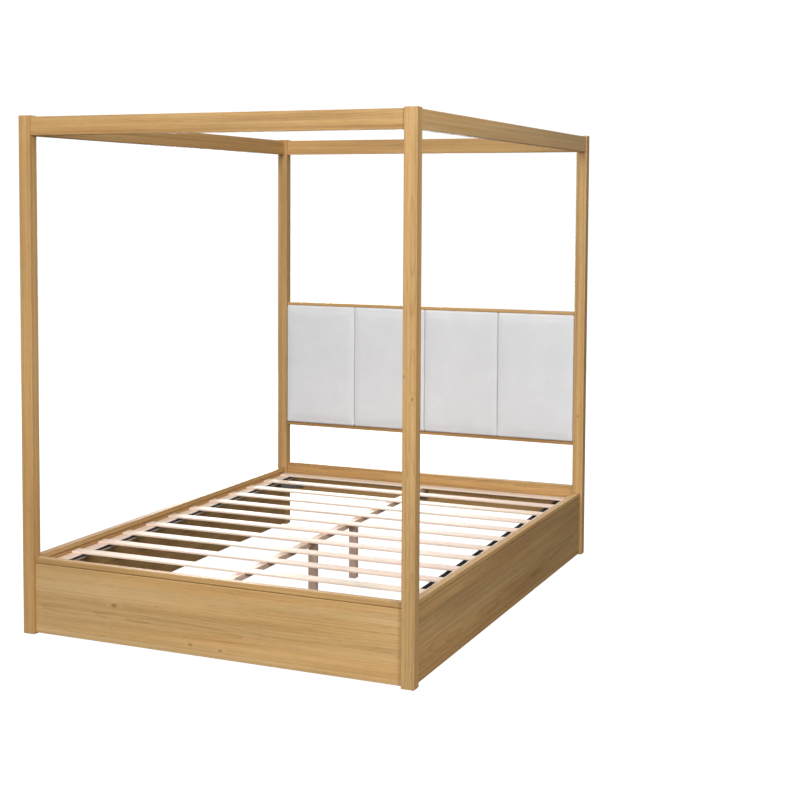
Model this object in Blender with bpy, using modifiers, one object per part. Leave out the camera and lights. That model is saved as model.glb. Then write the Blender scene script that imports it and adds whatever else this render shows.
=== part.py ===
"""Four poster canopy bed with a padded headboard and a slatted base.

Frame: metres, +Z up, +X to the right seen from the foot, +Y from the foot to the
head. The origin lies on the floor under the middle of the bed.

Every board is a piece of its own. The boards that carry the frame end in stub
tenons that stand in mortises in the posts, the capping strips sit with a tongue in
the edge of their rail, and the headboard panel slides into slots in the head posts.
"""

import bmesh
import bpy
from mathutils import Matrix, Vector

# ---------------------------------------------------------------- driving sizes
# overall
BED_WIDTH = 1.620            # over the posts, along X
BED_LENGTH = 2.124           # over the posts, along Y
BED_HEIGHT = 1.975           # floor to the top of the posts

# posts
POST_X = 0.050
POST_Y = 0.044
POST_ARRIS = 0.0022

# fit between pieces that touch
GAP = 0.0003                 # touching faces
JOINT_CLEARANCE = 0.0003     # tenon, tongue and slot, on each side

# stub tenons
TENON_LENGTH = 0.014
TENON_THICKNESS = 0.012
TENON_STAGGER = 0.006        # wood in the post between a lower and an upper mortise

# canopy rails
CANOPY_RAIL_HEIGHT = 0.070
CANOPY_RAIL_THICKNESS = 0.032
CANOPY_DROP = 0.005          # rail top below the post top
CANOPY_SIDE_RECESS = 0.004   # side rails behind the outer side of the posts
CANOPY_END_RECESS = 0.0055   # foot and head rails behind the posts' faces
CANOPY_SHOULDER = 0.009      # rail above or below its tenon
RAIL_ARRIS = 0.0018

# bed rails at the foot and the sides
RAIL_THICKNESS = 0.030
RAIL_RECESS = 0.011          # rail face behind the posts' faces
RAIL_TOP = 0.296
RAIL_BOTTOM = 0.006
RAIL_SHOULDER = 0.032        # rail above or below its tenon
CAP_HEIGHT = 0.020           # capping strip on the rail
CAP_REVEAL = 0.0025          # shadow line under the capping strip
CAP_ARRIS = 0.0028
TONGUE_THICKNESS = 0.014
TONGUE_DEPTH = 0.009

# head rail behind the slats
HEAD_RAIL_RISE = 0.026       # its top above the tops of the other bed rails
HEAD_RAIL_HEIGHT = 0.140

# headboard
HEADBOARD_BOTTOM = 0.518
HEADBOARD_TOP = 1.150
HEADBOARD_TRIM_HEIGHT = 0.014
HEADBOARD_TRIM_DEPTH = 0.028
HEADBOARD_TRIM_RECESS = 0.010    # trim behind the front of the posts
HEADBOARD_PANEL_THICKNESS = 0.018
HEADBOARD_PANEL_TONGUE = 0.008   # how far the panel stands in the post
HEADBOARD_PANEL_ARRIS = 0.0010
PAD_COUNT = 4
PAD_THICKNESS = 0.018
PAD_MARGIN = 0.0015          # pad to trim and pad to post
PAD_SEAM = 0.0010            # between two pads
PAD_ROUND = 0.007

# slatted base
SLAT_COUNT = 12
SLAT_WIDTH = 0.053
SLAT_THICKNESS = 0.008
SLAT_TOP_BELOW_RAIL = 0.028
SLAT_END_PLAY = 0.002        # slat end to the side rail
SLAT_HEAD_PLAY = 0.015       # first slat to the head rail
SLAT_FOOT_PLAY = 0.031       # last slat to the foot rail
SLAT_ARRIS = 0.0020
LEDGER_WIDTH = 0.050
LEDGER_HEIGHT = 0.020
LEDGER_END_PLAY = 0.006
STRAP_WIDTH = 0.022
STRAP_THICKNESS = 0.0012
STRAP_FROM_LEDGER = 0.002

# centre beam and its legs
BEAM_WIDTH = 0.032
BEAM_HEIGHT = 0.022
PINE_ARRIS = 0.0015
LEG_SIZE = 0.032
LEG_SPACING = 0.400
LEG_PIN_RADIUS = 0.008
LEG_PIN_LENGTH = 0.012
LEG_PIN_SUNK = 0.010         # pin inside the leg

# steel fittings
PLATE = 0.0025
BRACE_HEIGHT = 0.036
BRACE_FLANGE = 0.044         # flat part on each rail
BRACE_REACH = 0.104          # from the inner corner to the end of the flange
BRACE_BELOW_LEDGER = 0.010
SHOE_WIDTH = 0.044
SHOE_LEG = 0.042
BOLT_RADIUS = 0.0035
BOLT_HEAD_ACROSS = 0.011
BOLT_HEAD_HEIGHT = 0.0045
BOLT_DEPTH = 0.018           # of the shank in the wood

# ------------------------------------------------------------- derived planes
HALF_W = BED_WIDTH / 2
HALF_L = BED_LENGTH / 2
POST_IN_X = HALF_W - POST_X          # inner side of the posts
POST_IN_Y = HALF_L - POST_Y
SIDE_OUT = HALF_W - RAIL_RECESS      # side rail, outer and inner face
SIDE_IN = SIDE_OUT - RAIL_THICKNESS
FOOT_OUT = -HALF_L + RAIL_RECESS     # foot rail, outer and inner face
FOOT_IN = FOOT_OUT + RAIL_THICKNESS
HEAD_IN = POST_IN_Y + RAIL_RECESS    # head rail, face towards the foot
HEAD_OUT = HEAD_IN + RAIL_THICKNESS
PANEL_TOP = RAIL_TOP - CAP_HEIGHT - CAP_REVEAL
HEAD_RAIL_TOP = RAIL_TOP + HEAD_RAIL_RISE
SLAT_TOP = RAIL_TOP - SLAT_TOP_BELOW_RAIL
SLAT_BOTTOM = SLAT_TOP - SLAT_THICKNESS
LEDGER_TOP = SLAT_BOTTOM - GAP
BEAM_TOP = SLAT_BOTTOM - GAP
BEAM_BOTTOM = BEAM_TOP - BEAM_HEIGHT
CANOPY_TOP = BED_HEIGHT - CANOPY_DROP

# ------------------------------------------------------------------ scene setup
for old in list(bpy.data.objects):
    bpy.data.objects.remove(old, do_unlink=True)


def new_collection(name):
    """A fresh collection linked to the scene."""
    made = bpy.data.collections.new(name)
    bpy.context.scene.collection.children.link(made)
    return made


BED = new_collection("four_poster_bed")
CUTTERS = new_collection("cutters")


def new_material(name, colour, roughness, metallic=0.0):
    """A Principled material with one colour, roughness and metallic value."""
    material = bpy.data.materials.new(name)
    material.use_nodes = True
    shader = material.node_tree.nodes["Principled BSDF"]
    shader.inputs["Base Color"].default_value = (*colour, 1.0)
    shader.inputs["Roughness"].default_value = roughness
    shader.inputs["Metallic"].default_value = metallic
    material.diffuse_color = (*colour, 1.0)
    return material


LOOKS = {
    "oak": ((0.545, 0.335, 0.150), 0.50, 0.0),
    "oak_rail": ((0.520, 0.315, 0.140), 0.52, 0.0),
    "pine": ((0.830, 0.680, 0.520), 0.60, 0.0),
    "fabric": ((0.680, 0.690, 0.700), 0.90, 0.0),
    "webbing": ((0.012, 0.012, 0.013), 0.80, 0.0),
    "steel": ((0.560, 0.570, 0.580), 0.35, 1.0),
}


def finish(node, look):
    """Give an object a material of its own in one of the bed's finishes."""
    colour, roughness, metallic = LOOKS[look]
    material = new_material(look + "_" + node.name, colour, roughness, metallic)
    node.data.materials.clear()
    node.data.materials.append(material)
    return node


# --------------------------------------------------------------- shape helpers
def box_mesh(name, size):
    """A box of the given size about its own centre."""
    bm = bmesh.new()
    bmesh.ops.create_cube(bm, size=1.0)
    bmesh.ops.scale(bm, vec=Vector(size), verts=bm.verts)
    mesh = bpy.data.meshes.new(name)
    bm.to_mesh(mesh)
    bm.free()
    return mesh


def span(low, high):
    """Size and centre of the box between two corners."""
    low, high = Vector(low), Vector(high)
    return high - low, (high + low) / 2


def place(name, mesh, centre, collection=BED):
    """Link an object that carries the mesh at the given centre."""
    node = bpy.data.objects.new(name, mesh)
    node.location = centre
    collection.objects.link(node)
    return node


def as_cutter(node):
    """Keep a helper out of the bed itself."""
    node.hide_render = True
    node.display_type = "WIRE"
    return node


def cutter_box(name, low, high):
    """A box that only cuts or joins other pieces."""
    size, centre = span(low, high)
    return as_cutter(place(name, box_mesh(name, size), centre, CUTTERS))


def combine(node, other, operation):
    """Cut another solid out of a piece, or join it on."""
    modifier = node.modifiers.new(operation.lower() + "_" + other.name[:40], "BOOLEAN")
    modifier.operation = operation
    modifier.object = other
    modifier.solver = "EXACT"
    return node


def eased(node, width, segments=2):
    """Round the arrises of a piece by the given width."""
    modifier = node.modifiers.new("arris", "BEVEL")
    modifier.width = width
    modifier.segments = segments
    modifier.limit_method = "ANGLE"
    return node


def board(name, low, high, look, arris=RAIL_ARRIS, segments=2):
    """A board between two corners with eased arrises."""
    size, centre = span(low, high)
    node = place(name, box_mesh(name, size), centre)
    return eased(finish(node, look), arris, segments)


def grown(low, high, by):
    """The two corners of a box made bigger by a clearance on every side."""
    step = Vector((by, by, by))
    return Vector(low) - step, Vector(high) + step


def cylinder_mesh(name, radius, length, segments):
    """A closed cylinder along Z about its own centre."""
    bm = bmesh.new()
    bmesh.ops.create_cone(bm, cap_ends=True, segments=segments,
                          radius1=radius, radius2=radius, depth=length)
    mesh = bpy.data.meshes.new(name)
    bm.to_mesh(mesh)
    bm.free()
    if segments > 8:
        mesh.shade_smooth()
        mesh.set_sharp_from_angle(angle=0.7)
    return mesh


def turn_to(direction):
    """Rotation that lays +Z along the given direction."""
    return Vector(direction).to_track_quat("Z", "Y").to_euler()


def cylinder(name, radius, start, direction, length, segments=24):
    """A helper cylinder from a start point along a direction."""
    direction = Vector(direction)
    node = place(name, cylinder_mesh(name, radius, length, segments),
                 Vector(start) + direction * (length / 2), CUTTERS)
    node.rotation_euler = turn_to(direction)
    return as_cutter(node)


# ------------------------------------------------------------------------ posts
posts = {}
for side, sx in (("left", -1), ("right", 1)):
    for end, sy in (("foot", -1), ("head", 1)):
        x0, x1 = sorted((sx * POST_IN_X, sx * HALF_W))
        y0, y1 = sorted((sy * POST_IN_Y, sy * HALF_L))
        posts[end, side] = board("post_" + end + "_" + side, (x0, y0, 0.0),
                                 (x1, y1, BED_HEIGHT), "oak", POST_ARRIS)


def tenoned(rail, low, high, axis, shoulder, ends):
    """Join stub tenons onto both ends of a rail and sink them into two posts.

    The tenons are the two ends of one bar through the rail. The same bar, grown
    by the joint clearance, cuts the mortises. Rails along Y have their tenons in
    the lower half and rails along X in the upper half, so that the two mortises of
    a post never meet inside it.
    """
    low, high = Vector(low), Vector(high)
    half_way = (low.z + high.z) / 2
    across = 1 - axis
    middle = (low[across] + high[across]) / 2
    low[across] = middle - TENON_THICKNESS / 2
    high[across] = middle + TENON_THICKNESS / 2
    low[axis] -= TENON_LENGTH
    high[axis] += TENON_LENGTH
    if axis == 1:
        low.z += shoulder
        high.z = half_way - TENON_STAGGER / 2
    else:
        low.z = half_way + TENON_STAGGER / 2
        high.z -= shoulder
    combine(rail, cutter_box("tenons_" + rail.name, low, high), "UNION")
    mortise = cutter_box("mortises_" + rail.name, *grown(low, high, JOINT_CLEARANCE))
    for post in ends:
        combine(post, mortise, "DIFFERENCE")


# ----------------------------------------------------------------- canopy rails
canopy_z0 = CANOPY_TOP - CANOPY_RAIL_HEIGHT
for side, sx in (("left", -1), ("right", 1)):
    outer = HALF_W - CANOPY_SIDE_RECESS
    x0, x1 = sorted((sx * outer, sx * (outer - CANOPY_RAIL_THICKNESS)))
    low = (x0, -POST_IN_Y + GAP, canopy_z0)
    high = (x1, POST_IN_Y - GAP, CANOPY_TOP)
    rail = board("canopy_rail_" + side, low, high, "oak_rail")
    tenoned(rail, low, high, 1, CANOPY_SHOULDER, (posts["foot", side], posts["head", side]))

foot_y = -HALF_L + CANOPY_END_RECESS
head_y = POST_IN_Y + CANOPY_END_RECESS
for end, y0 in (("foot", foot_y), ("head", head_y)):
    low = (-POST_IN_X + GAP, y0, canopy_z0)
    high = (POST_IN_X - GAP, y0 + CANOPY_RAIL_THICKNESS, CANOPY_TOP)
    rail = board("canopy_rail_" + end, low, high, "oak_rail")
    tenoned(rail, low, high, 0, CANOPY_SHOULDER, (posts[end, "left"], posts[end, "right"]))


# ------------------------------------------------- bed rails and capping strips
def capped_rail(name, low, high, axis, ends):
    """A wide rail with a capping strip whose tongue stands in the rail's edge."""
    panel_low, panel_high = Vector(low), Vector(high)
    panel_high.z = PANEL_TOP
    rail = board(name, panel_low, panel_high, "oak")
    tenoned(rail, panel_low, panel_high, axis, RAIL_SHOULDER, ends)

    cap_low, cap_high = Vector(low), Vector(high)
    cap_low.z = RAIL_TOP - CAP_HEIGHT
    cap = board(name + "_cap", cap_low, cap_high, "oak_rail", CAP_ARRIS)

    across = 1 - axis
    tongue_low, tongue_high = Vector(low), Vector(high)
    middle = (tongue_low[across] + tongue_high[across]) / 2
    tongue_low[across] = middle - TONGUE_THICKNESS / 2
    tongue_high[across] = middle + TONGUE_THICKNESS / 2
    tongue_low.z = PANEL_TOP - TONGUE_DEPTH
    tongue_high.z = RAIL_TOP - CAP_HEIGHT / 2
    tongue_low[axis] += CAP_ARRIS
    tongue_high[axis] -= CAP_ARRIS
    combine(cap, cutter_box("tongue_" + name, tongue_low, tongue_high), "UNION")
    groove_low, groove_high = grown(tongue_low, tongue_high, JOINT_CLEARANCE)
    groove_low[axis] = low[axis] - CAP_ARRIS
    groove_high[axis] = high[axis] + CAP_ARRIS
    combine(rail, cutter_box("groove_" + name, groove_low, groove_high), "DIFFERENCE")
    return rail


foot_rail = capped_rail("foot_rail", (-POST_IN_X + GAP, FOOT_OUT, RAIL_BOTTOM),
                        (POST_IN_X - GAP, FOOT_IN, RAIL_TOP), 0,
                        (posts["foot", "left"], posts["foot", "right"]))
side_rails = {}
for side, sx in (("left", -1), ("right", 1)):
    x0, x1 = sorted((sx * SIDE_IN, sx * SIDE_OUT))
    side_rails[side] = capped_rail("side_rail_" + side, (x0, -POST_IN_Y + GAP, RAIL_BOTTOM),
                                   (x1, POST_IN_Y - GAP, RAIL_TOP), 1,
                                   (posts["foot", side], posts["head", side]))

# the head rail is a narrower board, open below
head_low = (-POST_IN_X + GAP, HEAD_IN, HEAD_RAIL_TOP - HEAD_RAIL_HEIGHT)
head_high = (POST_IN_X - GAP, HEAD_OUT, HEAD_RAIL_TOP)
head_rail = board("head_rail", head_low, head_high, "oak_rail")
tenoned(head_rail, head_low, head_high, 0, RAIL_SHOULDER,
        (posts["head", "left"], posts["head", "right"]))

# -------------------------------------------------------------------- headboard
trim_y0 = POST_IN_Y + HEADBOARD_TRIM_RECESS
trim_y1 = trim_y0 + HEADBOARD_TRIM_DEPTH
for name, z0 in (("headboard_trim_bottom", HEADBOARD_BOTTOM),
                 ("headboard_trim_top", HEADBOARD_TOP - HEADBOARD_TRIM_HEIGHT)):
    board(name, (-POST_IN_X + GAP, trim_y0, z0),
          (POST_IN_X - GAP, trim_y1, z0 + HEADBOARD_TRIM_HEIGHT), "oak_rail")

field_z0 = HEADBOARD_BOTTOM + HEADBOARD_TRIM_HEIGHT
field_z1 = HEADBOARD_TOP - HEADBOARD_TRIM_HEIGHT
panel_y0 = (trim_y0 + trim_y1 - HEADBOARD_PANEL_THICKNESS) / 2
panel_y1 = panel_y0 + HEADBOARD_PANEL_THICKNESS
panel_low = Vector((-POST_IN_X - HEADBOARD_PANEL_TONGUE, panel_y0, field_z0 + GAP))
panel_high = Vector((POST_IN_X + HEADBOARD_PANEL_TONGUE, panel_y1, field_z1 - GAP))
board("headboard_panel", panel_low, panel_high, "oak", HEADBOARD_PANEL_ARRIS, 1)
slot = cutter_box("headboard_slot", *grown(panel_low, panel_high, JOINT_CLEARANCE))
for side in ("left", "right"):
    combine(posts["head", side], slot, "DIFFERENCE")

field_x0 = -POST_IN_X + PAD_MARGIN
pad_pitch = (2 * (POST_IN_X - PAD_MARGIN) + PAD_SEAM) / PAD_COUNT
for index in range(PAD_COUNT):
    x0 = field_x0 + index * pad_pitch
    board("headboard_pad_%d" % (index + 1),
          (x0, panel_y0 - GAP - PAD_THICKNESS, field_z0 + PAD_MARGIN),
          (x0 + pad_pitch - PAD_SEAM, panel_y0 - GAP, field_z1 - PAD_MARGIN),
          "fabric", PAD_ROUND, 3)

# ----------------------------------------------------------------- slatted base
for side, sx in (("left", -1), ("right", 1)):
    x0, x1 = sorted((sx * (SIDE_IN - GAP), sx * (SIDE_IN - GAP - LEDGER_WIDTH)))
    board("ledger_" + side, (x0, -POST_IN_Y + LEDGER_END_PLAY, LEDGER_TOP - LEDGER_HEIGHT),
          (x1, POST_IN_Y - LEDGER_END_PLAY, LEDGER_TOP), "pine", PINE_ARRIS, 1)

slat_half = SIDE_IN - SLAT_END_PLAY
first_y = HEAD_IN - SLAT_HEAD_PLAY - SLAT_WIDTH / 2
last_y = FOOT_IN + SLAT_FOOT_PLAY + SLAT_WIDTH / 2
slat_mesh = box_mesh("slat", (2 * slat_half, SLAT_WIDTH, SLAT_THICKNESS))
for index in range(SLAT_COUNT):
    y = first_y + (last_y - first_y) * index / (SLAT_COUNT - 1)
    slat = place("slat_%02d" % (index + 1), slat_mesh.copy(),
                 (0.0, y, SLAT_TOP - SLAT_THICKNESS / 2))
    eased(finish(slat, "pine"), SLAT_ARRIS)

strap_out = SIDE_IN - GAP - LEDGER_WIDTH - STRAP_FROM_LEDGER
for side, sx in (("left", -1), ("right", 1)):
    x0, x1 = sorted((sx * strap_out, sx * (strap_out - STRAP_WIDTH)))
    size, centre = span((x0, last_y - SLAT_WIDTH / 2, SLAT_BOTTOM - GAP - STRAP_THICKNESS),
                        (x1, first_y + SLAT_WIDTH / 2, SLAT_BOTTOM - GAP))
    finish(place("slat_strap_" + side, box_mesh("slat_strap_" + side, size), centre), "webbing")

# ---------------------------------------------------------- centre beam and legs
beam = board("centre_beam", (-BEAM_WIDTH / 2, FOOT_IN + GAP, BEAM_BOTTOM),
             (BEAM_WIDTH / 2, HEAD_IN - GAP, BEAM_TOP), "pine", PINE_ARRIS, 1)
for end, sy in (("foot", -1), ("head", 1)):
    y = sy * LEG_SPACING / 2
    leg_top = BEAM_BOTTOM - GAP
    leg = board("centre_leg_" + end, (-LEG_SIZE / 2, y - LEG_SIZE / 2, 0.0),
                (LEG_SIZE / 2, y + LEG_SIZE / 2, leg_top), "pine", PINE_ARRIS, 1)
    root = (0, y, leg_top - LEG_PIN_SUNK)
    pin_length = LEG_PIN_SUNK + LEG_PIN_LENGTH
    pin = cylinder("leg_pin_" + end, LEG_PIN_RADIUS, root, (0, 0, 1), pin_length)
    combine(leg, pin, "UNION")
    hole = cylinder("leg_hole_" + end, LEG_PIN_RADIUS + JOINT_CLEARANCE, root, (0, 0, 1),
                    pin_length + JOINT_CLEARANCE)
    combine(beam, hole, "DIFFERENCE")


# --------------------------------------------------------------- steel fittings
def bent_plate(name, path, width_axis, width):
    """A bent steel strip: a path drawn out along one axis and given a thickness."""
    bm = bmesh.new()
    half = Vector([0.5 * width if axis == width_axis else 0.0 for axis in range(3)])
    verts = [bm.verts.new(Vector(point) - half) for point in path]
    edges = [bm.edges.new(pair) for pair in zip(verts, verts[1:])]
    drawn = bmesh.ops.extrude_edge_only(bm, edges=edges)["geom"]
    moved = [item for item in drawn if isinstance(item, bmesh.types.BMVert)]
    bmesh.ops.translate(bm, verts=moved, vec=half * 2)
    bmesh.ops.recalc_face_normals(bm, faces=bm.faces)
    centre = sum((Vector(point) for point in path), Vector()) / len(path)
    bmesh.ops.translate(bm, verts=bm.verts, vec=-centre)
    mesh = bpy.data.meshes.new(name)
    bm.to_mesh(mesh)
    bm.free()
    node = finish(place(name, mesh, centre), "steel")
    solid = node.modifiers.new("thickness", "SOLIDIFY")
    solid.thickness = PLATE
    solid.offset = 0.0
    solid.use_even_offset = True
    return node


def bolt(name, seat, direction, wood, plate):
    """A hexagon bolt through a plate into the wood, with its hole in both.

    The seat is the point on the plate's free face, and the direction points into
    the wood.
    """
    seat, direction = Vector(seat), Vector(direction)
    start = seat - direction * (GAP + BOLT_HEAD_HEIGHT)
    head = place(name, cylinder_mesh(name, BOLT_HEAD_ACROSS / 3 ** 0.5, BOLT_HEAD_HEIGHT, 6),
                 start + direction * (BOLT_HEAD_HEIGHT / 2))
    head.rotation_euler = turn_to(direction)
    finish(head, "steel")
    under = BOLT_HEAD_HEIGHT / 2
    reach = GAP + PLATE + GAP + BOLT_DEPTH
    shank = cylinder("shank_" + name, BOLT_RADIUS, start + direction * under, direction,
                     BOLT_HEAD_HEIGHT - under + reach, 16)
    combine(head, shank, "UNION")
    hole = cylinder("hole_" + name, BOLT_RADIUS + JOINT_CLEARANCE,
                    start, direction, BOLT_HEAD_HEIGHT + reach + JOINT_CLEARANCE, 16)
    combine(plate, hole, "DIFFERENCE")
    combine(wood, hole, "DIFFERENCE")
    return head


# corner braces tie the side rails to the foot rail and to the head rail
brace_top = LEDGER_TOP - LEDGER_HEIGHT - BRACE_BELOW_LEDGER
brace_z = brace_top - BRACE_HEIGHT / 2
skin = GAP + PLATE / 2
for side, sx in (("left", -1), ("right", 1)):
    for end, sy, plane, cross in (("foot", -1, FOOT_IN, foot_rail), ("head", 1, HEAD_IN, head_rail)):
        corner_x, corner_y = sx * SIDE_IN, plane
        near, far, thin = BRACE_REACH - BRACE_FLANGE, BRACE_REACH, skin
        path = [(corner_x - sx * u, corner_y - sy * v, brace_z)
                for u, v in ((thin, far), (thin, near), (near, thin), (far, thin))]
        name = "corner_brace_" + end + "_" + side
        brace = bent_plate(name, path, 2, BRACE_HEIGHT)
        middle = (near + far) / 2
        free = skin + PLATE / 2
        bolt("brace_bolt_side_" + end + "_" + side,
             (corner_x - sx * free, corner_y - sy * middle, brace_z), (sx, 0, 0),
             side_rails[side], brace)
        bolt("brace_bolt_end_" + end + "_" + side,
             (corner_x - sx * middle, corner_y - sy * free, brace_z), (0, sy, 0), cross, brace)

# angle shoes carry the two ends of the centre beam
for end, sy, plane, cross in (("foot", -1, FOOT_IN, foot_rail), ("head", 1, HEAD_IN, head_rail)):
    shelf = BEAM_BOTTOM - skin
    wall = plane - sy * skin
    path = [(0.0, wall, shelf - SHOE_LEG), (0.0, wall, shelf), (0.0, wall - sy * SHOE_LEG, shelf)]
    shoe = bent_plate("beam_shoe_" + end, path, 0, SHOE_WIDTH)
    bolt("shoe_bolt_" + end, (0.0, plane - sy * (skin + PLATE / 2), shelf - SHOE_LEG / 2),
         (0, sy, 0), cross, shoe)
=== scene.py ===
# %% [markdown]
# # Finishing a four poster bed
#
# The joiner's model of the bed is ready: posts, rails, slats and fittings stand in
# their places at their real sizes. This lesson finishes it. The boards get oak and
# softwood that grow through the whole piece, the four headboard pads are stuffed by
# a cloth simulation, and the slats hang together on woven webbing.
#
# The joiner's pieces are loaded first and are never moved.

# %% Load the joiner's model
import math

import bpy
import numpy as np
from mathutils import Euler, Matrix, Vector


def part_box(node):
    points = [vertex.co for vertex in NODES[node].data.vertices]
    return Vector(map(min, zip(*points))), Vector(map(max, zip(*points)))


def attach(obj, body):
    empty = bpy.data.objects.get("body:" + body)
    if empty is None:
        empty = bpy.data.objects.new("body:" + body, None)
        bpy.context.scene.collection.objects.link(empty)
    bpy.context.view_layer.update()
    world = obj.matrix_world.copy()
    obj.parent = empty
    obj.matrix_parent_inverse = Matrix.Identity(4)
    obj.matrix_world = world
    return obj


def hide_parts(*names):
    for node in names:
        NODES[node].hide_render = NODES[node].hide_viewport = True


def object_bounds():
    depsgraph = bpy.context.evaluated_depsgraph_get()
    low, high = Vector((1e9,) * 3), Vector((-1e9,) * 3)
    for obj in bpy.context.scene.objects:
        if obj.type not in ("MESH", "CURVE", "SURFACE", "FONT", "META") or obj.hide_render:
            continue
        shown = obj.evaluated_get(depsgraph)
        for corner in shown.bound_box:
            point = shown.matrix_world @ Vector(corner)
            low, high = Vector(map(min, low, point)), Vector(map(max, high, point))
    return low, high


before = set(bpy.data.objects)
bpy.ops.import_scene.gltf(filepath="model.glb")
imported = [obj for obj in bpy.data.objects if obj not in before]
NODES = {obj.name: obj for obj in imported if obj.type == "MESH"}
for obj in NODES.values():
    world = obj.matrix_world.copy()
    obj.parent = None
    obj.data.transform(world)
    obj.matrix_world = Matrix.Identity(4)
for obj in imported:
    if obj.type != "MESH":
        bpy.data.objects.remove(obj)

CAD_LOW, CAD_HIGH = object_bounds()
print("bed, metres:", [round(h - l, 3) for l, h in zip(CAD_LOW, CAD_HIGH)], "pieces:", len(NODES))

# %% [markdown]
# ## The camera
#
# A bed this size is best seen from beyond one foot corner, a little above the
# mattress, with a lens long enough to keep the posts upright. The camera looks down
# only a few degrees, because a steeper look makes the posts lean, and a part of the
# framing is left to lens shift. All places are measured from the bed's own box, so
# the view follows the bed if its size changes.

# %% Place the camera
CAMERA_FROM_CENTRE = Vector((2.611, -5.459, 1.646))
CAMERA_TURN = 22.94         # degrees, towards the headboard's left
CAMERA_DOWN = 3.5           # degrees below level
CAMERA_ROLL = 0.33          # degrees, anticlockwise seen from behind the camera
FOCAL_RATIO = 1.7829        # focal length over the width of the sensor
SHIFT_UP = -0.1342          # of the sensor's width

bed_middle = (CAD_LOW + CAD_HIGH) / 2
floor_middle = Vector((bed_middle.x, bed_middle.y, CAD_LOW.z))
camera_data = bpy.data.cameras.new("studio_camera")
camera_data.sensor_width = 36.0
camera_data.lens = camera_data.sensor_width * FOCAL_RATIO
camera_data.shift_y = SHIFT_UP
camera = bpy.data.objects.new("studio_camera", camera_data)
camera.location = floor_middle + CAMERA_FROM_CENTRE
level = Euler((math.radians(90 - CAMERA_DOWN), 0, math.radians(CAMERA_TURN)))
roll = Euler((0, 0, math.radians(CAMERA_ROLL)))
camera.rotation_euler = (level.to_matrix() @ roll.to_matrix()).to_euler()
bpy.context.scene.collection.objects.link(camera)
bpy.context.scene.camera = camera
print("camera stands", round((camera.location - bed_middle).length, 2), "m from the bed's middle")

# %% [markdown]
# ## The studio
#
# The bed stands on a plain pale floor in an even white room. A large soft key light
# far in front of the foot end makes the faces towards it bright, a small one on the
# right keeps the long side from falling off too far, a wide one overhead brightens
# the slats, and a low one behind the headboard serves whoever walks round the bed.
# The room itself gives a low fill. The floor is dark for bounced light and glows for
# the camera only, which keeps it pale without lighting the bed from below.


# %% Helpers for node trees
def step(tree, kind, inputs=(), **options):
    """Add a shader node, set its options, and fill its inputs with values or sockets."""
    made = tree.nodes.new("ShaderNode" + kind)
    for name, value in options.items():
        setattr(made, name, value)
    for socket, value in dict(inputs).items():
        if isinstance(value, bpy.types.NodeSocket):
            tree.links.new(value, made.inputs[socket])
        else:
            made.inputs[socket].default_value = value
    return made


def maths(tree, operation, *values, clamp=False):
    """One arithmetic step on numbers or sockets, as a socket."""
    made = step(tree, "Math", enumerate(values), operation=operation, use_clamp=clamp)
    return made.outputs[0]


def new_material(name, settings):
    """A material, its node tree and its shader, with some of the shader's inputs set."""
    material = bpy.data.materials.new(name)
    material.use_nodes = True
    tree = material.node_tree
    shader = tree.nodes["Principled BSDF"]
    for socket, value in settings.items():
        shader.inputs[socket].default_value = value
    return material, tree, shader


# %% The white room
WHITE = (1.0, 1.0, 1.0, 1.0)
FILL = 0.25
ROOM_SEEN = 1.05            # the room's strength where the camera looks at it
room = bpy.data.worlds.new("white_room")
room.use_nodes = True
bpy.context.scene.world = room
seen = room.node_tree.nodes.new("ShaderNodeLightPath").outputs["Is Camera Ray"]
strength = step(room.node_tree, "MapRange", {"Value": seen, "To Min": FILL, "To Max": ROOM_SEEN})
background = room.node_tree.nodes["Background"]
background.inputs["Color"].default_value = WHITE
room.node_tree.links.new(strength.outputs[0], background.inputs["Strength"])
print("room fill", FILL, "and", ROOM_SEEN, "where the camera sees it")

# %% The floor
FLOOR_REACH = 60.0
FLOOR_BELOW = 0.0005        # keeps the floor from touching the posts
FLOOR_GREY = (0.17, 0.17, 0.17, 1.0)
FLOOR_LIFT = 0.98           # the glow that only the camera sees
u, v = np.meshgrid([-1.0, 1.0], [-1.0, 1.0])
floor_points = np.stack([u, v, np.zeros_like(u)], -1).reshape(-1, 3) * FLOOR_REACH
floor_points[:, 2] = CAD_LOW.z - FLOOR_BELOW
floor_mesh = bpy.data.meshes.new("studio_floor")
floor_mesh.from_pydata(floor_points.tolist(), [], [(0, 1, 3, 2)])
floor = bpy.data.objects.new("studio_floor", floor_mesh)
bpy.context.scene.collection.objects.link(floor)

floor_look, tree, shader = new_material(
    "pale_floor", {"Base Color": FLOOR_GREY, "Roughness": 0.9, "Specular IOR Level": 0.1})
seen = tree.nodes.new("ShaderNodeLightPath").outputs["Is Camera Ray"]
lift = maths(tree, "MULTIPLY", seen, FLOOR_LIFT)
glow = step(tree, "Emission", {"Color": WHITE, "Strength": lift})
both = step(tree, "AddShader", {0: shader.outputs[0], 1: glow.outputs[0]})
tree.links.new(both.outputs[0], tree.nodes["Material Output"].inputs["Surface"])
floor_mesh.materials.append(floor_look)
print("floor reaches", FLOOR_REACH, "m each way")


# %% The lights
def soft_light(name, place, aim, size, power):
    """A square soft light at a place, turned towards the point it lights."""
    data = bpy.data.lights.new(name, "AREA")
    data.shape = "SQUARE"
    data.size = size
    data.energy = power
    light = bpy.data.objects.new(name, data)
    light.location = place
    light.rotation_euler = (Vector(aim) - Vector(place)).to_track_quat("-Z", "Y").to_euler()
    bpy.context.scene.collection.objects.link(light)


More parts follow.
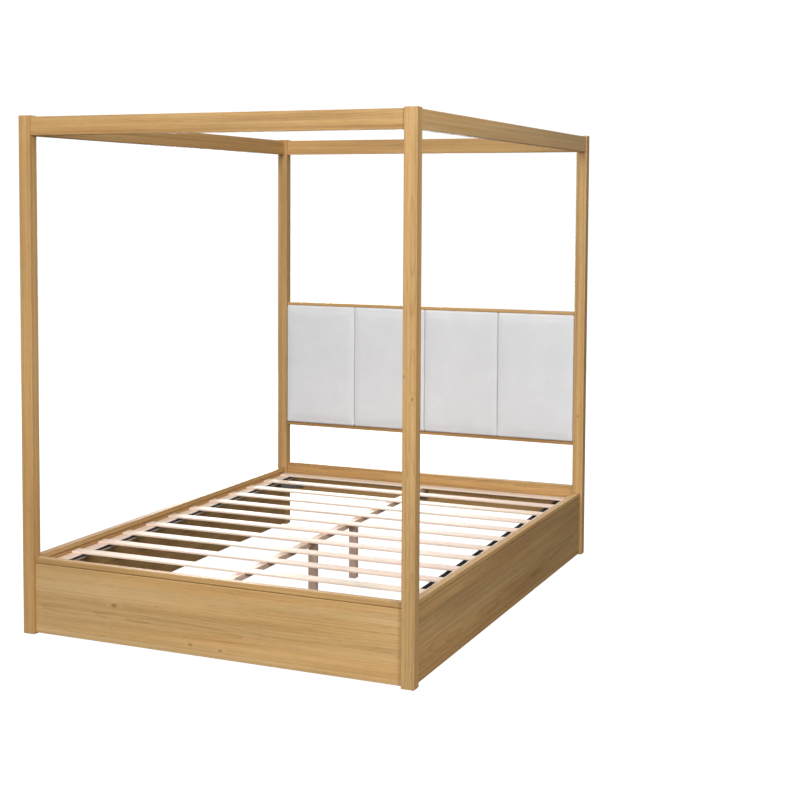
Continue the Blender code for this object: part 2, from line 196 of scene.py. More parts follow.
# from the middle of the floor: place, size in metres, power in watts
LIGHTS = {
    "key_light": ((1.2, -10.4, 4.6), 4.5, 622),
    "side_light": ((4.4, -3.6, 2.6), 1.6, 142),
    "overhead_light": ((0.2, -1.2, 5.4), 3.6, 112),
    "back_light": ((-3.6, 7.0, 2.0), 3.0, 430),
}
for name, (place, size, power) in LIGHTS.items():
    soft_light(name, floor_middle + Vector(place), bed_middle, size, power)
bpy.context.scene.view_settings.view_transform = "Standard"
print("soft lights:", len(LIGHTS), "with", sum(power for *_, power in LIGHTS.values()), "W")

# %% [markdown]
# ## Oak
#
# A board is cut from a trunk, so its figure isn't painted on: it is where the
# trunk's growth rings meet the board's faces. The rings are cylinders round the
# pith, and the board's material works out how far each point lies from the pith.
# Where a face cuts the rings flat they open into long flames, where it cuts them
# upright they run as straight lines, and on a board's end they show as arcs, all
# from the same formula. A slow drift of the pith along the board keeps the lines
# from being ruler straight. Streaks, fibres and pores are noises stretched along the
# grain. An image of oak would repeat on every board and smear on the ends.


# %% Solid wood as a node group
# features a metre along the grain, features a metre across it, and octaves of detail
DRIFT = (0.8, 2.5, 2.0)
STRIPES = (0.22, 105.0, 1.0)
STREAKS = (1.3, 40.0, 4.0)
BANDS = (0.8, 9.0, 2.0)
FIBRES = (16.0, 900.0, 2.0)
SPECKS = (26.0, 1300.0, 1.0)
HUES = (0.6, 14.0, 2.0)
DRIFT_SIZE = 0.09           # metres the pith wanders
LATE_WOOD_POWER = 3.0


def stretched_noise(tree, board, along, across, detail=2.0, roughness=0.5):
    """A noise with so many features a metre along the grain and across it."""
    scaled = step(tree, "Mapping", {"Vector": board, "Scale": (along, across, across)})
    noise = step(tree, "TexNoise", {"Vector": scaled.outputs[0], "Scale": 1.0,
                                    "Detail": detail, "Roughness": roughness})
    return noise


def about_zero(tree, socket, size):
    """A noise between 0 and 1 turned into one between minus and plus half the size."""
    return maths(tree, "MULTIPLY", maths(tree, "SUBTRACT", socket, 0.5), size)


def distance(tree, parts):
    """The length of a vector that is given by its parts, as a socket."""
    joined = step(tree, "CombineXYZ", parts).outputs[0]
    return step(tree, "VectorMath", {0: joined}, operation="LENGTH").outputs["Value"]


# %% The whole board
def solid_wood(name, tones, second_tones, ring_gap, ring, stripe, streak, broad, fibre, pore):
    """Wood through and through, on board coordinates.

    The board coordinate has X along the grain and its origin on the pith, in metres.
    The ring phase is the distance from the pith, shifted by a slow drift, over the
    gap between two rings. The tone starts in the middle, falls with the third power
    of what the phase has left over a whole ring, as late wood is darker, and rises
    and falls with the noises. Each weight says how far its part moves the tone. The
    colour is looked up at that tone on two ramps, which a last noise blends.
    """
    group = bpy.data.node_groups.new(name, "ShaderNodeTree")
    group.interface.new_socket("Board", in_out="INPUT", socket_type="NodeSocketVector")
    group.interface.new_socket("Tone", in_out="INPUT", socket_type="NodeSocketFloat")
    group.interface.new_socket("Colour", in_out="OUTPUT", socket_type="NodeSocketColor")
    group.interface.new_socket("Roughness", in_out="OUTPUT", socket_type="NodeSocketFloat")
    group.interface.new_socket("Height", in_out="OUTPUT", socket_type="NodeSocketFloat")
    enter = group.nodes.new("NodeGroupInput")
    leave = group.nodes.new("NodeGroupOutput")
    board = enter.outputs["Board"]

    drift = stretched_noise(group, board, *DRIFT).outputs["Color"]
    drift = step(group, "SeparateColor", {"Color": drift})
    parts = step(group, "SeparateXYZ", {"Vector": board})
    y = maths(group, "ADD", parts.outputs["Y"], about_zero(group, drift.outputs[0], DRIFT_SIZE))
    z = maths(group, "ADD", parts.outputs["Z"], about_zero(group, drift.outputs[1], DRIFT_SIZE))
    phase = maths(group, "DIVIDE", distance(group, {"Y": y, "Z": z}), ring_gap)
    late_wood = maths(group, "POWER", maths(group, "FRACT", phase), LATE_WOOD_POWER)

    stripes = stretched_noise(group, board, *STRIPES).outputs["Fac"]
    streaks = stretched_noise(group, board, *STREAKS, roughness=0.62).outputs["Fac"]
    bands = stretched_noise(group, board, *BANDS).outputs["Fac"]
    fibres = stretched_noise(group, board, *FIBRES).outputs["Fac"]
    specks = stretched_noise(group, board, *SPECKS).outputs["Fac"]
    pores = step(group, "MapRange", {"Value": specks, "From Min": 0.60, "From Max": 0.72},
                 clamp=True).outputs[0]

    tone = maths(group, "ADD", 0.5, enter.outputs["Tone"])
    for part, size in ((stripes, stripe), (streaks, streak), (bands, broad), (fibres, fibre)):
        tone = maths(group, "ADD", tone, about_zero(group, part, size))
    tone = maths(group, "SUBTRACT", tone, maths(group, "MULTIPLY", late_wood, ring))
    tone = maths(group, "SUBTRACT", tone, maths(group, "MULTIPLY", pores, pore), clamp=True)

    colours = []
    for low, middle, high in (tones, second_tones):
        ramp = step(group, "ValToRGB", {"Fac": tone})
        ramp.color_ramp.elements[0].color = (*low, 1.0)
        ramp.color_ramp.elements[1].color = (*high, 1.0)
        ramp.color_ramp.elements.new(0.5).color = (*middle, 1.0)
        colours.append(ramp.outputs["Color"])
    hue = stretched_noise(group, board, *HUES).outputs["Fac"]
    hue = step(group, "MapRange", {"Value": hue, "From Min": 0.38, "From Max": 0.62}, clamp=True)
    blend = step(group, "MixRGB", {"Fac": hue.outputs[0], "Color1": colours[0],
                                   "Color2": colours[1]})
    group.links.new(blend.outputs[0], leave.inputs["Colour"])

    rough = maths(group, "ADD", 0.47, about_zero(group, fibres, 0.16))
    rough = maths(group, "ADD", rough, maths(group, "MULTIPLY", pores, 0.15))
    group.links.new(rough, leave.inputs["Roughness"])
    height = maths(group, "ADD", maths(group, "MULTIPLY", fibres, 0.5),
                   maths(group, "MULTIPLY", streaks, 0.5))
    height = maths(group, "SUBTRACT", height, maths(group, "MULTIPLY", pores, 0.8))
    group.links.new(height, leave.inputs["Height"])
    return group


# %% Oak from the group
oak_group = solid_wood(
    "solid_oak",
    tones=((0.280, 0.150, 0.050), (0.520, 0.328, 0.138), (0.700, 0.490, 0.250)),
    second_tones=((0.320, 0.163, 0.052), (0.575, 0.338, 0.130), (0.740, 0.478, 0.222)),
    ring_gap=0.0064, ring=0.15, stripe=0.52, streak=0.62, broad=0.55, fibre=0.24, pore=0.28)
print("oak group holds", len(oak_group.nodes), "nodes")

# %% [markdown]
# ## Boards cut from different trees
#
# Two boards in one bed never show the same figure. Each piece therefore gets a
# material of its own that carries the group above, with its own place in its own
# trunk: a mapping turns the grain along the piece and puts the pith some way outside
# it. A seeded generator draws those places, so the bed is the same on every run.


# %% One material for each board
TURN = {"x": (0.0, 0.0, 0.0), "y": (0.0, 0.0, -math.pi / 2), "z": (0.0, math.pi / 2, 0.0)}
FIBRE_RELIEF = 0.0006       # metres from the deepest pore to the highest fibre
KNOT_COLOUR = (0.120, 0.060, 0.022, 1.0)
draw = np.random.default_rng(11)


def middle_of(name):
    """The middle of a joiner's piece."""
    low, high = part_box(name)
    return (low + high) / 2


def board_vector(tree, centre, grain, pith):
    """Board coordinates: the grain along X, the piece's middle at its place by the pith."""
    coordinates = step(tree, "TexCoord").outputs["Object"]
    turn = Euler(TURN[grain])
    place = Vector(pith) - turn.to_matrix() @ centre
    return step(tree, "Mapping", {"Vector": coordinates, "Rotation": tuple(turn),
                                  "Location": tuple(place)}).outputs[0]


def wooden(name, group, grain, pith, tone=0.0, knots=(), bump=0.35):
    """A board's material. The knots are places along and across the board."""
    material, tree, shader = new_material(name + "_wood", {"Specular IOR Level": 0.25})
    board = board_vector(tree, middle_of(name), grain, pith)
    knot_core = None
    if knots:
        board, knot_core = knotted(tree, board, pith, knots)
    wood = tree.nodes.new("ShaderNodeGroup")
    wood.node_tree = group
    wood.inputs["Tone"].default_value = tone
    tree.links.new(board, wood.inputs["Board"])
    colour = wood.outputs["Colour"]
    if knot_core is not None:
        colour = step(tree, "MixRGB", {"Fac": knot_core, "Color1": colour,
                                       "Color2": KNOT_COLOUR}).outputs[0]
    relief = step(tree, "Bump", {"Height": wood.outputs["Height"], "Strength": bump,
                                 "Distance": FIBRE_RELIEF})
    tree.links.new(colour, shader.inputs["Base Color"])
    tree.links.new(wood.outputs["Roughness"], shader.inputs["Roughness"])
    tree.links.new(relief.outputs[0], shader.inputs["Normal"])
    return material


def dress(name, material):
    """Put a finish on a joiner's piece, in the material slots of its object."""
    for slot in NODES[name].material_slots:
        slot.material = material


def trunk_place(near=0.05, far=0.13):
    """Where a board lay in its trunk: how far along it, and how far from the pith."""
    angle = draw.uniform(0, 2 * math.pi)
    reach = draw.uniform(near, far)
    return draw.uniform(-20, 20), reach * math.cos(angle), reach * math.sin(angle)


# %% [markdown]
# ## Knots
#
# A branch leaves a small dark core, and the grain flows round it. The core is a
# narrow bell over the board's face. The same bell, wider and pushed into the depth
# of the trunk, bends the rings into closed ovals round the branch, which is just
# what the real rings do.


# %% Bend the grain round a knot
# for a knot of size one, in metres: the bell's widths, and how far it bends the grain
KNOT_ALONG = 0.027
KNOT_ACROSS = 0.017
KNOT_DEPTH = 0.016
CORE_NARROWER = 2.6         # the bell's width over the core's
CORE_DARK = 0.62            # how much of the core's own colour shows
print("knot core, mm:", round(2000 * KNOT_ALONG / CORE_NARROWER), "by",
      round(2000 * KNOT_ACROSS / CORE_NARROWER))


def bell(tree, away):
    """One at the middle and nearly nothing two widths away: e to the minus d squared."""
    squared = maths(tree, "POWER", away, 2.0)
    return maths(tree, "POWER", math.e, maths(tree, "MULTIPLY", squared, -1.0))


def knotted(tree, board, pith, knots):
    """The board coordinate bent round its knots, and how dark the cores make it."""
    parts = step(tree, "SeparateXYZ", {"Vector": board})
    depth, core = parts.outputs["Y"], 0.0
    for along, across, size in knots:
        x = maths(tree, "SUBTRACT", parts.outputs["X"], pith[0] + along)
        z = maths(tree, "SUBTRACT", parts.outputs["Z"], pith[2] + across)
        away = distance(tree, {"X": maths(tree, "DIVIDE", x, KNOT_ALONG * size),
                               "Z": maths(tree, "DIVIDE", z, KNOT_ACROSS * size)})
        push = maths(tree, "MULTIPLY", bell(tree, away), KNOT_DEPTH * size)
        depth = maths(tree, "ADD", depth, push)
        narrow = bell(tree, maths(tree, "MULTIPLY", away, CORE_NARROWER))
        core = maths(tree, "MAXIMUM", core, narrow)
    bent = step(tree, "CombineXYZ", {"X": parts.outputs["X"], "Y": depth, "Z": parts.outputs["Z"]})
    return bent.outputs[0], maths(tree, "MULTIPLY", core, CORE_DARK)


# %% [markdown]
# ## Posts, rails and panels
#
# The narrow boards take a place anywhere near the pith, so their figure is fine and
# straight. A wide panel would look sawn at random that way. It is cut flat instead,
# with the pith behind its middle, so that flames run along it. The tones differ a
# little from board to board, as they do between trees. Some tones are painted light and
# shade: the right canopy rail is lighter, painted light for its lit outer face, the left
# canopy rail and the left side rail and its cap are darker, painted shade for their inner
# faces, and the bottom trim is darker, painted shade under the pads.

# %% Posts and rails in oak
# each board's grain direction and how much lighter it is than the middle tone; a few of
# these tones are painted light and shade, marked at their boards
OAK_BOARDS = {
    "post_foot_left": ("z", -0.02), "post_foot_right": ("z", 0.02),
    "post_head_left": ("z", 0.00), "post_head_right": ("z", 0.02),
    "canopy_rail_foot": ("x", -0.06), "canopy_rail_head": ("x", -0.12),
    # painted shade: the left canopy rail is darker for its inner face in shade; painted light: the
    # right one is lighter for its lit outer face
    "canopy_rail_left": ("y", -0.16), "canopy_rail_right": ("y", 0.24),
    # painted shade: the left side rail's cap is darker for its inner face in shade
    "foot_rail_cap": ("x", 0.00), "side_rail_left_cap": ("y", -0.12),
    "side_rail_right_cap": ("y", -0.02), "head_rail": ("x", -0.08),
    # painted shade: the bottom trim is darker for the shade under the pads
    "headboard_trim_bottom": ("x", -0.30), "headboard_trim_top": ("x", -0.04),
}
# each knot's place along and across from the board's middle, and its size
POST_KNOTS = {"post_foot_right": ((0.008, -0.012, 0.6), (0.083, 0.021, 0.5)),
              "post_head_right": ((-0.330, 0.004, 0.5),)}
for name, (grain, tone) in OAK_BOARDS.items():
    knots = POST_KNOTS.get(name, ())
    dress(name, wooden(name, oak_group, grain, trunk_place(), tone, knots))
print("narrow oak boards:", len(OAK_BOARDS))

# %% Wide panels in oak
# each panel's grain direction, its place by the pith, its tone and its knots
PANELS = {
    "foot_rail": ("x", (3.1, 0.070, 0.030), 0.07,
                  ((-0.405, 0.011, 1.0), (-0.076, -0.095, 0.7), (0.049, -0.102, 0.6))),
    # painted shade: the left side rail is darker for its inner face in shade
    "side_rail_left": ("y", (7.7, 0.075, -0.020), -0.16, ((-0.310, -0.050, 0.8),)),
    "side_rail_right": ("y", (-5.2, -0.080, 0.045), -0.12, ()),
    "headboard_panel": ("x", (-9.4, 0.085, 0.120), 0.0, ((0.270, 0.140, 0.9),)),
}
for name, (grain, pith, tone, knots) in PANELS.items():
    dress(name, wooden(name, oak_group, grain, pith, tone, knots))
print("wide oak panels:", len(PANELS))

# %% [markdown]
# ## Softwood
#
# The slats, ledgers, centre beam and its legs are bare planed softwood. Its rings
# are further apart and fainter than oak's, it has no open pores, and its colour is a
# pale cream with a trace of pink. The same group makes it with other numbers.

# %% Slats, ledgers, beam and legs
softwood_group = solid_wood(
    "solid_softwood",
    tones=((0.680, 0.500, 0.350), (0.840, 0.690, 0.550), (0.920, 0.820, 0.710)),
    second_tones=((0.700, 0.480, 0.370), (0.860, 0.680, 0.570), (0.930, 0.805, 0.725)),
    ring_gap=0.0065, ring=0.18, stripe=0.20, streak=0.50, broad=0.50, fibre=0.22, pore=0.0)

SLATS = sorted(name for name in NODES if name.startswith("slat_") and name[5:].isdigit())
SOFTWOOD = {name: "x" for name in SLATS}
SOFTWOOD.update({"ledger_left": "y", "ledger_right": "y", "centre_beam": "y",
                 "centre_leg_foot": "z", "centre_leg_head": "z"})
# painted shade: the beam and its legs are darkened by this much, for the shade under the slats
BEAM_PAINTED_SHADE = 0.30          # how much darker the beam and its legs are
for name, grain in SOFTWOOD.items():
    tone = draw.uniform(-0.08, 0.08)
    if name.startswith("centre"):
        tone -= BEAM_PAINTED_SHADE
    dress(name, wooden(name, softwood_group, grain, trunk_place(), tone=tone, bump=0.25))
print("softwood pieces:", len(SOFTWOOD))

# %% [markdown]
# ## Zinc plated steel
#
# The braces, shoes and bolts are bent and turned steel with a thin coat of zinc. They
# sit in the dark below the slats, so their zinc grey is painted dark, as painted shade there,
# mottled by cloudy noise and by the cells of small crystals, which also change its polish.

# %% Fittings
CLOUDS = 160.0              # features a metre
CRYSTALS = 420.0
zinc, tree, shader = new_material("zinc_plate", {"Metallic": 1.0})
coordinates = step(tree, "TexCoord").outputs["Object"]
cloud = step(tree, "TexNoise", {"Vector": coordinates, "Scale": CLOUDS, "Detail": 4.0})
crystal = step(tree, "TexVoronoi", {"Vector": coordinates, "Scale": CRYSTALS})
mottle = maths(tree, "ADD", maths(tree, "MULTIPLY", cloud.outputs["Fac"], 0.7),
               maths(tree, "MULTIPLY", crystal.outputs["Distance"], 0.4))
# zinc grey, kept dark as painted shade for the dark under the slats
plate_and_painted_shade = step(tree, "ValToRGB", {"Fac": mottle})
plate_and_painted_shade.color_ramp.elements[0].color = (0.16, 0.16, 0.165, 1.0)
plate_and_painted_shade.color_ramp.elements[1].color = (0.34, 0.34, 0.35, 1.0)
tree.links.new(plate_and_painted_shade.outputs["Color"], shader.inputs["Base Color"])
polish = step(tree, "MapRange", {"Value": mottle, "To Min": 0.38, "To Max": 0.58})
tree.links.new(polish.outputs[0], shader.inputs["Roughness"])
dent = step(tree, "Bump", {"Height": mottle, "Strength": 0.2, "Distance": 0.0002})
tree.links.new(dent.outputs[0], shader.inputs["Normal"])
STEEL = ("corner_brace", "brace_bolt", "beam_shoe", "shoe_bolt")
FITTINGS = [name for name in NODES if name.startswith(STEEL)]
for name in FITTINGS:
    dress(name, zinc)
print("fittings:", len(FITTINGS))

# %% [markdown]
# ## The headboard pads
#
# Each pad is foam on a thin board, with fabric pulled round it and stapled behind.
# It is nearly flat, but it falls away a little towards its edges, rolls off round a
# narrow rim, and its corners are drawn in. The start is a slab of that form. Cloth
# simulation then blows it up a little from inside while its back stays on the board,
# which is how foam fills a cover. The move is capped and evened out over each point's
# neighbours, since a cover pulled tight over foam has no wrinkles.


# %% The slab that is stuffed
PAD = sorted(name for name in NODES if name.startswith("headboard_pad_"))
PAD_LOW, PAD_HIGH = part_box(PAD[0])
PAD_SIZE = PAD_HIGH - PAD_LOW
COVER_SLACK = 0.0003        # the slab is this much smaller all round
ROLL = 0.005                # radius of the rolled rim
CORNER = 0.009              # radius of the corners, seen from the front
EDGE_DROP = 0.0012          # how far the front falls away towards a rim
EDGE_WIDTH = 0.016          # over about twice this width
BULGE_ROOM = 0.003          # depth that is left for the stuffing
print("one pad, mm:", [round(v * 1000, 1) for v in PAD_SIZE])


def quarter_circle(inside):
    """Height of a rolled rim: sqrt(1 - (1 - e)^2), with e the way in over the radius."""
    way = np.clip(inside / ROLL, 0, 1)
    return np.sqrt(1 - (1 - way) ** 2)


def slab(half_x, half_z, depth, count=110):
    """A closed pad about its own centre, its back flat at Y = depth / 2.

    Both parameters run from -1 to 1, crowded towards the rims by a sine. The front
    stands before the back by the depth, less a drop that fades with e to the minus
    way in over the edge width, times a quarter circle at each rim. Round a corner's
    centre a point keeps its direction, and its larger coordinate becomes its radius.
    """
    line = np.sin(np.linspace(-math.pi / 2, math.pi / 2, count))
    s, t = np.meshgrid(line, line)
    in_x, in_z = half_x * (1 - np.abs(s)), half_z * (1 - np.abs(t))
    drop = EDGE_DROP * (np.exp(-in_x / EDGE_WIDTH) + np.exp(-in_z / EDGE_WIDTH))
    stand = (depth - drop) * quarter_circle(in_x) * quarter_circle(in_z)
    over_x, over_z = np.maximum(CORNER - in_x, 0), np.maximum(CORNER - in_z, 0)
    pull = np.maximum(over_x, over_z) / np.maximum(np.hypot(over_x, over_z), 1e-9)
    x = s * half_x - np.sign(s) * over_x * np.where(pull > 0, 1 - pull, 0)
    z = t * half_z - np.sign(t) * over_z * np.where(pull > 0, 1 - pull, 0)
    front = np.stack([x, depth / 2 - stand, z], -1).reshape(-1, 3)
    back = np.stack([x, np.full_like(s, depth / 2), z], -1).reshape(-1, 3)
    corner = (np.arange(count - 1)[:, None] * count + np.arange(count - 1)).ravel()
    quads = np.stack([corner, corner + 1, corner + count + 1, corner + count], 1)
    points = np.concatenate([front, back])
    faces = np.concatenate([quads, quads[:, ::-1] + count * count])
    return points, faces.tolist()


# %% The slab as a mesh
def new_piece(name, points, faces):
    """A smooth mesh object at the origin, from an array of points and a list of faces."""
    mesh = bpy.data.meshes.new(name)
    mesh.from_pydata(points.tolist(), [], faces)
    mesh.shade_smooth()
    piece = bpy.data.objects.new(name, mesh)
    bpy.context.scene.collection.objects.link(piece)
    return piece


def applied(piece):
    """The piece's mesh as its modifiers leave it, in place of the old one."""
    evaluated = piece.evaluated_get(bpy.context.evaluated_depsgraph_get())
    mesh = bpy.data.meshes.new_from_object(evaluated)
    piece.modifiers.clear()
    old = piece.data
    piece.data = mesh
    bpy.data.meshes.remove(old)
    return piece


def points_of(piece):
    """All points of a mesh as one array."""
    flat = np.empty(len(piece.data.vertices) * 3, np.float32)
    piece.data.vertices.foreach_get("co", flat)
    return flat.reshape(-1, 3).astype(float)


half_x = PAD_SIZE.x / 2 - COVER_SLACK
half_z = PAD_SIZE.z / 2 - COVER_SLACK
pad_form = new_piece("pad_form", *slab(half_x, half_z, PAD_SIZE.y - BULGE_ROOM))
print("pad slab, mm:", [round(v * 1000, 1) for v in pad_form.dimensions])

# %% Stuff it by cloth simulation
VOXEL = 0.005               # edge length of the cloth's squares
PRESSURE = 4.0
MOST_MOVE = 0.003           # no point of the cover moves further than this
FRAMES = 20


def evened(mesh, moved, times=14):
    """Each point's move replaced, again and again, by the mean of it and its neighbours'."""
    ends = np.empty(len(mesh.edges) * 2, np.int32)
    mesh.edges.foreach_get("vertices", ends)
    first, second = ends.reshape(-1, 2).T
    count = np.bincount(ends, minlength=len(moved))[:, None]
    for _ in range(times):
        total = np.zeros_like(moved)
        np.add.at(total, first, moved[second])
        np.add.at(total, second, moved[first])
        moved = 0.5 * moved + 0.5 * total / count
    return moved


remesh = pad_form.modifiers.new("even_cloth", "REMESH")
remesh.mode = "VOXEL"
remesh.voxel_size = VOXEL
applied(pad_form)
before = points_of(pad_form)

on_board = pad_form.vertex_groups.new(name="on_board")
still = np.flatnonzero(before[:, 1] > before[:, 1].max() - VOXEL).tolist()
on_board.add(still, 1.0, "REPLACE")
cloth = pad_form.modifiers.new("cover", "CLOTH")
cloth.settings.quality = 5
cloth.settings.mass = 0.35
cloth.settings.use_pressure = True
cloth.settings.uniform_pressure_force = PRESSURE
cloth.settings.tension_stiffness = 25
cloth.settings.compression_stiffness = 25
cloth.settings.bending_stiffness = 1.5
cloth.settings.effector_weights.gravity = 0.0
cloth.settings.vertex_group_mass = "on_board"
cloth.point_cache.frame_start = 1
cloth.point_cache.frame_end = FRAMES
for number in range(1, FRAMES + 1):
    bpy.context.scene.frame_set(number)
applied(pad_form)
after = points_of(pad_form)
moved = after - before
length = np.linalg.norm(moved, axis=1)
moved *= np.minimum(1.0, MOST_MOVE / np.maximum(length, 1e-9))[:, None]
moved = evened(pad_form.data, moved)
after = before + moved
pad_form.data.vertices.foreach_set("co", after.astype(np.float32).ravel())
print("cover moved up to", round(length.max() * 1000, 1), "mm, capped at", MOST_MOVE * 1000)
print("front bulges", round((before[:, 1].min() - after[:, 1].min()) * 1000, 1), "mm")

# %% [markdown]
# ## Four pads from one
#
# All four pads are cut alike, so the stuffed form is smoothed once, stretched by a
# hair until it fills its place, and copied to the four places of the joiner's plain
# pads. Neighbours press on each other where they are widest, so between two pads
# there is a narrow groove with fabric on both sides. No two covers are pulled
# equally tight: slow waves of less than a millimetre across each front, different
# on each pad, stand for that.

# %% Soften the form and fit it to its place
soften = pad_form.modifiers.new("soften", "SUBSURF")
soften.levels = soften.render_levels = 1
applied(pad_form)
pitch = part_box(PAD[1])[0].x - PAD_LOW.x
form = points_of(pad_form)
form -= (form.min(axis=0) + form.max(axis=0)) / 2
form_size = np.ptp(form, axis=0)
form *= np.array([pitch, form_size[1], PAD_SIZE.z]) / form_size
form[:, 1] += (PAD_SIZE.y - form_size[1]) / 2
print("form stretched by, mm:", ((np.ptp(form, axis=0) - form_size) * 1000).round(1).tolist())

# %% Place the pads
WAVE = 0.0004


def pad_waves(points, number):
    """Slow unevenness in depth: three crossed sines whose phases depend on the pad.

    The numbers before x and z are radians a metre, so that a wave is 20 to 60 cm long.
    """
    phase = 1.7 * number
    x, z = points[:, 0], points[:, 2]
    waves = np.sin(17 * x + 9 * z + phase) + np.sin(11 * z - 21 * x + 2 * phase)
    return WAVE * (waves + 0.7 * np.sin(33 * x + 27 * z + 3 * phase))


pads = []
for number, name in enumerate(PAD, start=1):
    low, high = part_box(name)
    pad = bpy.data.objects.new(f"pad_cover_{number}", pad_form.data.copy())
    bpy.context.scene.collection.objects.link(pad)
    points = form.copy()
    front = points[:, 1] < 0
    points[front, 1] += pad_waves(points[front], number)
    points += np.array((low + high) / 2)
    pad.data.vertices.foreach_set("co", points.astype(np.float32).ravel())
    pad.data.shade_smooth()
    pad.data.update()
    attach(pad, "root")
    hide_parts(name)
    pads.append(pad)
bpy.data.objects.remove(pad_form)
print("pads:", [len(p.data.polygons) for p in pads], "faces")

# %% [markdown]
# ## Upholstery fabric
#
# The cover is a plain weave of slightly uneven light grey threads. Warp and weft are
# two sets of ridges a little over a millimetre apart, and where one passes over the
# other follows from the product of their waves. Depth is added to both coordinates,
# so the weave turns round the pad's edges and isn't drawn out there.

# %% Weave the cover
THREAD = 0.0013             # from one thread to the next
SLUB_LONG = 25.0            # features a metre along a thread
SLUB_FINE = 700.0           # and across the threads
SOIL = 9.0
fabric, tree, shader = new_material("pad_weave", {
    "Roughness": 0.92, "Specular IOR Level": 0.25, "Sheen Weight": 0.25, "Sheen Roughness": 0.5})
parts = step(tree, "SeparateXYZ", {"Vector": step(tree, "TexCoord").outputs["Object"]})
across = maths(tree, "ADD", parts.outputs["X"], parts.outputs["Y"])
up = maths(tree, "ADD", parts.outputs["Z"], parts.outputs["Y"])
cloth_place = step(tree, "CombineXYZ", {"X": across, "Y": up}).outputs[0]
wobble = step(tree, "TexNoise", {"Vector": cloth_place, "Scale": 130.0, "Detail": 1.0})
wobble = about_zero(tree, wobble.outputs["Fac"], THREAD * 0.6)


def ridges(socket):
    """A wave with one crest for each thread."""
    turns = maths(tree, "MULTIPLY", maths(tree, "ADD", socket, wobble), math.pi / THREAD)
    return maths(tree, "SINE", turns)


warp, weft = ridges(across), ridges(up)
over = maths(tree, "MULTIPLY", warp, weft)
weave = maths(tree, "ADD", maths(tree, "MULTIPLY", over, 0.5), 0.5)
slubs = []
for scale in ((SLUB_LONG, SLUB_FINE, 1.0), (SLUB_FINE, SLUB_LONG, 1.0)):
    place = step(tree, "Mapping", {"Vector": cloth_place, "Scale": scale}).outputs[0]
    noise = step(tree, "TexNoise", {"Vector": place, "Scale": 1.0, "Detail": 2.0})
    slubs.append(noise.outputs["Fac"])
slub = maths(tree, "MULTIPLY", maths(tree, "ADD", *slubs), 0.5)
soil = step(tree, "TexNoise", {"Vector": cloth_place, "Scale": SOIL, "Detail": 3.0}).outputs["Fac"]
shade = maths(tree, "ADD", maths(tree, "MULTIPLY", weave, 0.22),
              maths(tree, "MULTIPLY", slub, 0.55))
shade = maths(tree, "ADD", shade, about_zero(tree, soil, 0.25))
thread_colour = step(tree, "ValToRGB", {"Fac": shade})
thread_colour.color_ramp.elements[0].position = 0.10
thread_colour.color_ramp.elements[0].color = (0.610, 0.616, 0.628, 1.0)
thread_colour.color_ramp.elements[1].position = 0.75
thread_colour.color_ramp.elements[1].color = (0.810, 0.814, 0.824, 1.0)
tree.links.new(thread_colour.outputs["Color"], shader.inputs["Base Color"])
cloth_height = maths(tree, "ADD", weave, maths(tree, "MULTIPLY", slub, 0.6))
relief = step(tree, "Bump", {"Height": cloth_height, "Strength": 0.5, "Distance": 0.0005})
tree.links.new(relief.outputs[0], shader.inputs["Normal"])
for pad in pads:
    pad.data.materials.clear()
    pad.data.materials.append(fabric)
print("threads in a pad's width:", round(PAD_SIZE.x / THREAD))

# %% [markdown]
# ## The webbing
#
# Two black tapes run under the slats from head to foot and keep them at their
# spacing. Each is fixed under every slat and hangs a little between two slats. The
# tape is one flat profile with thicker woven edges, carried along a path that
# touches each slat's underside.

# %% Carry the tape along its path
SAG = 0.0014                # of the tape between two slats
TAPE_THICK = 0.0010
EDGE_EXTRA = 0.35           # how much thicker the woven edges are
EDGE_SHARE = 0.16           # and how far in they reach, over half the width
STEPS_UNDER_SLAT = 8
STEPS_PER_BAY = 24

slat_low = np.array([tuple(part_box(name)[0]) for name in SLATS])
slat_high = np.array([tuple(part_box(name)[1]) for name in SLATS])
order = np.argsort(slat_low[:, 1])
slat_low, slat_high = slat_low[order], slat_high[order]


def tape_path():
    """Points along Y with their height: level under a slat, a parabola between two."""
    stations, heights = [], []
    for index in range(len(slat_low)):
        start, end = slat_low[index, 1], slat_high[index, 1]
        stations.append(np.linspace(start, end, STEPS_UNDER_SLAT, endpoint=False))
        heights.append(np.zeros(STEPS_UNDER_SLAT))
        if index + 1 < len(slat_low):
            share = np.linspace(0, 1, STEPS_PER_BAY, endpoint=False)
            start, end = slat_high[index, 1], slat_low[index + 1, 1]
            stations.append(start + (end - start) * share)
            heights.append(-4 * SAG * share * (1 - share))
    stations.append(slat_high[-1:, 1])
    heights.append(np.zeros(1))
    return np.concatenate(stations), np.concatenate(heights)


def tape_profile(width, count=10):
    """A flat section with rounded ends, thicker at its two edges by a bell each."""
    across = np.linspace(-1, 1, count)
    edge = 1 + EDGE_EXTRA * np.exp(-((1 - np.abs(across)) / EDGE_SHARE) ** 2)
    half = TAPE_THICK / 2 * edge * np.sqrt(np.clip(1 - np.abs(across) ** 18, 0.04, 1))
    upper = np.stack([across * width / 2, half], 1)
    lower = np.stack([across[::-1] * width / 2, -half[::-1]], 1)
    return np.concatenate([upper, lower])


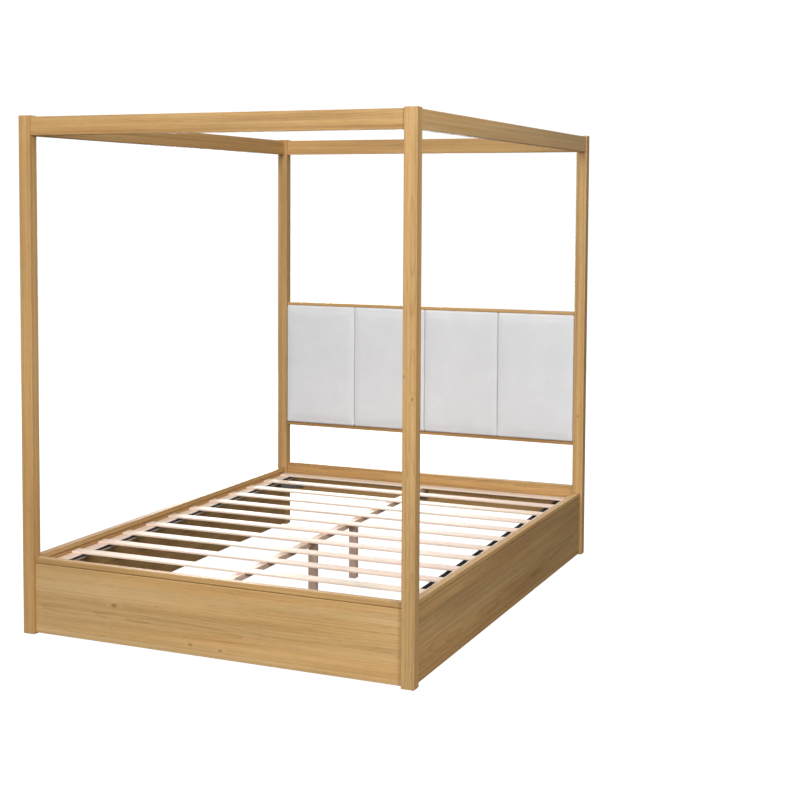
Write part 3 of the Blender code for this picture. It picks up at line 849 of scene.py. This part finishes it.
def tape(name, node):
    """The profile carried along the path, closed at both ends."""
    low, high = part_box(node)
    y, sag = tape_path()
    section = tape_profile(high.x - low.x)
    level = high.z - TAPE_THICK * 0.7           # the thick edges just clear the slats
    x = np.broadcast_to((low.x + high.x) / 2 + section[:, 0], (len(y), len(section)))
    z = level + sag[:, None] + section[None, :, 1]
    rings = np.stack([x, np.broadcast_to(y[:, None], x.shape), z], -1).reshape(-1, 3)
    count = len(section)
    row, column = np.meshgrid(np.arange(len(y) - 1), np.arange(count), indexing="ij")
    here = row * count + column
    beside = row * count + (column + 1) % count
    faces = np.stack([here, beside, beside + count, here + count], -1).reshape(-1, 4)
    first_end = np.arange(count)[::-1]
    last_end = np.arange(count) + len(rings) - count
    piece = new_piece(name, rings, faces.tolist() + [first_end.tolist(), last_end.tolist()])
    piece.data.set_sharp_from_angle(angle=math.radians(50))
    return piece


print("tape stations:", len(tape_path()[0]))

# %% [markdown]
# ## The tape's weave
#
# Webbing is woven of thick cords that run along it and thin picks across. The product
# of one wave across the tape and one along it is high where a cord lies on top. It
# shades the black yarn a little and lifts it, so the tape catches the light in grains.

# %% Weave and place the webbing
CORD = 0.0021               # from one cord to the next
PICK = 0.0017
webbing, tree, shader = new_material(
    "black_webbing", {"Roughness": 0.85, "Specular IOR Level": 0.12})
parts = step(tree, "SeparateXYZ", {"Vector": step(tree, "TexCoord").outputs["Object"]})
cord_wave = maths(tree, "SINE", maths(tree, "MULTIPLY", parts.outputs["X"], 2 * math.pi / CORD))
pick_wave = maths(tree, "SINE", maths(tree, "MULTIPLY", parts.outputs["Y"], 2 * math.pi / PICK))
woven = maths(tree, "MULTIPLY", maths(tree, "MULTIPLY", cord_wave, pick_wave), 0.5)
woven = maths(tree, "ADD", woven, 0.5)
black = step(tree, "ValToRGB", {"Fac": woven})
black.color_ramp.elements[0].color = (0.003, 0.003, 0.003, 1.0)
black.color_ramp.elements[1].color = (0.014, 0.014, 0.015, 1.0)
tree.links.new(black.outputs["Color"], shader.inputs["Base Color"])
relief = step(tree, "Bump", {"Height": woven, "Strength": 0.6, "Distance": 0.0004})
tree.links.new(relief.outputs[0], shader.inputs["Normal"])

for side in ("left", "right"):
    strap = tape("webbing_" + side, "slat_strap_" + side)
    strap.data.materials.append(webbing)
    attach(strap, "root")
    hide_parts("slat_strap_" + side)
    print(strap.name, "mm:", [round(v * 1000, 1) for v in strap.dimensions])
